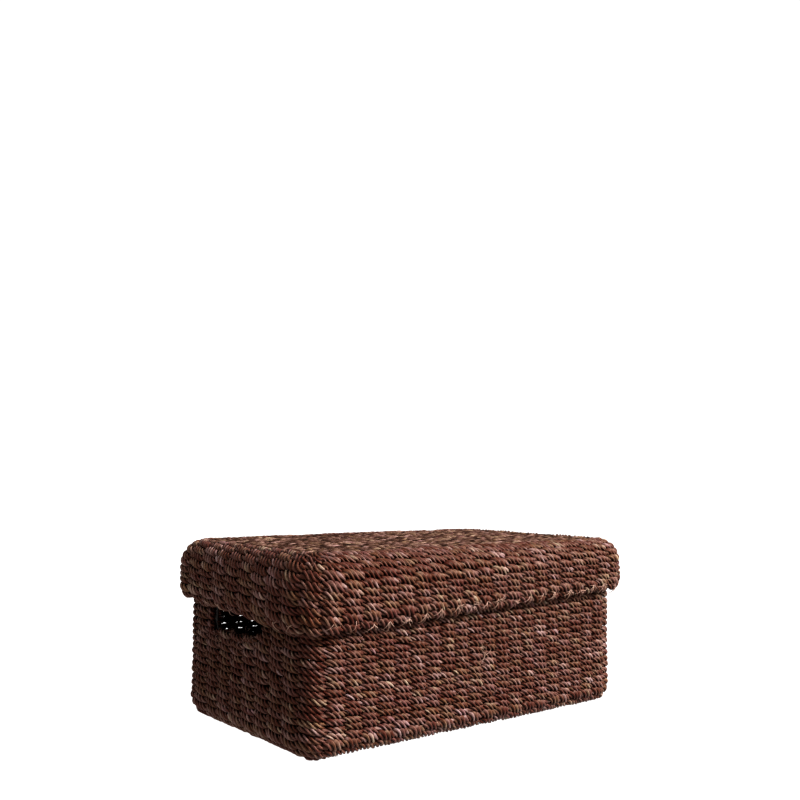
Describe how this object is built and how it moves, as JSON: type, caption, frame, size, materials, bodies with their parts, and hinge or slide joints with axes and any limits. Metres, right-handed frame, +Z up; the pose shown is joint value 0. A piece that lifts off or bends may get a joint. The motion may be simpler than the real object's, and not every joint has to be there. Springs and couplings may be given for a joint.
{
  "type": "wicker storage trunk",
  "caption": "Rectangular trunk twined from dark brown rope on a wire frame, with hand holes in the ends and a deep puffed lid that lifts off.",
  "frame": {"origin": "centre of the footprint, on the surface the trunk stands on", "axes": "+X along the long side, +Y towards the back, +Z up; the hand holes are in the -X and +X ends"},
  "size_m": [0.603, 0.368, 0.247],
  "materials": {
    "rope": "rough twisted plant fibre, dark reddish brown",
    "rope_top": "rough twisted plant fibre, lighter brown",
    "frame_wire": "dark lacquered iron wire"
  },
  "bodies": {
    "trunk_body": {"base_ring_wire": "frame_wire", "rim_ring_wire": "frame_wire", "cross_ribs": "frame_wire", "corner_posts": "frame_wire", "left_end_stakes": "frame_wire", "right_end_stakes": "frame_wire", "left_handle_frame": "frame_wire", "right_handle_frame": "frame_wire", "base_weave": "rope", "front_weave": "rope", "back_weave": "rope", "left_weave": "rope", "right_weave": "rope", "rim_binding": "rope"},
    "lid": {"lid_edge_ring_wire": "frame_wire", "lid_top_ring_wire": "frame_wire", "lid_cross_ribs": "frame_wire", "lid_corner_posts": "frame_wire", "lid_left_stakes": "frame_wire", "lid_right_stakes": "frame_wire", "lid_top_weave": "rope_top", "lid_front_weave": "rope", "lid_back_weave": "rope", "lid_left_weave": "rope", "lid_right_weave": "rope"}
  },
  "joints": [
    {"name": "lid_lift", "type": "slide", "parent": "trunk_body", "child": "lid", "axis": [0, 0, 1], "range_m": [0, 0.12]}
  ]
}
